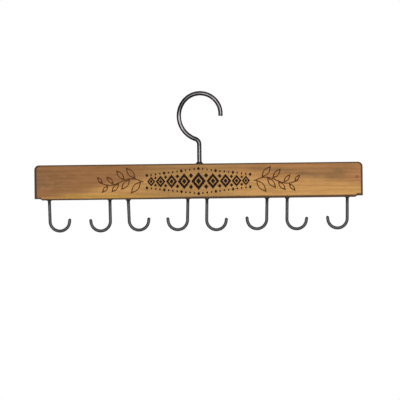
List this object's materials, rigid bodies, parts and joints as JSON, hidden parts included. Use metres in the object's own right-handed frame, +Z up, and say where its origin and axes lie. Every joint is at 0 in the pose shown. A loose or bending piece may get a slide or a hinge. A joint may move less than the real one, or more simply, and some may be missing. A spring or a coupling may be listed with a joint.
{
  "type": "belt hanger",
  "caption": "Wooden bar that hangs from a swivelling wire hook and holds belts on J-shaped wire hooks set in facing pairs along its underside.",
  "frame": {"origin": "the rail seat: on the swivel's axis, level with the underside of the hook's crown, where the hanger rests on a rail", "axes": "+X along the bar towards the open side of the hook's loop, +Y from the bar's front to its back, +Z up along the swivel's axis"},
  "size_m": [0.42, 0.018, 0.1804],
  "materials": {
    "bar_wood": "oiled honey-brown softwood, darker at its edges",
    "hook_steel": "dark gunmetal, satin",
    "belt_hook_steel": "dark gunmetal, satin",
    "fitting_steel": "blackened steel"
  },
  "bodies": {
    "hook": {"swivel_hook": "hook_steel", "swivel_washer": "fitting_steel"},
    "bar": {"wood_bar": "bar_wood", "swivel_bush": "fitting_steel", "belt_hook_1": "belt_hook_steel", "belt_hook_2": "belt_hook_steel", "belt_hook_3": "belt_hook_steel", "belt_hook_4": "belt_hook_steel", "belt_hook_5": "belt_hook_steel", "belt_hook_6": "belt_hook_steel", "belt_hook_7": "belt_hook_steel", "belt_hook_8": "belt_hook_steel", "belt_hook_collar_1": "fitting_steel", "belt_hook_collar_2": "fitting_steel", "belt_hook_collar_3": "fitting_steel", "belt_hook_collar_4": "fitting_steel", "belt_hook_collar_5": "fitting_steel", "belt_hook_collar_6": "fitting_steel", "belt_hook_collar_7": "fitting_steel", "belt_hook_collar_8": "fitting_steel"}
  },
  "joints": [
    {"name": "hook_swivel", "type": "hinge", "parent": "hook", "child": "bar", "pos_m": [0, 0, -0.08765], "axis": [0, 0, 1], "continuous": true}
  ]
}
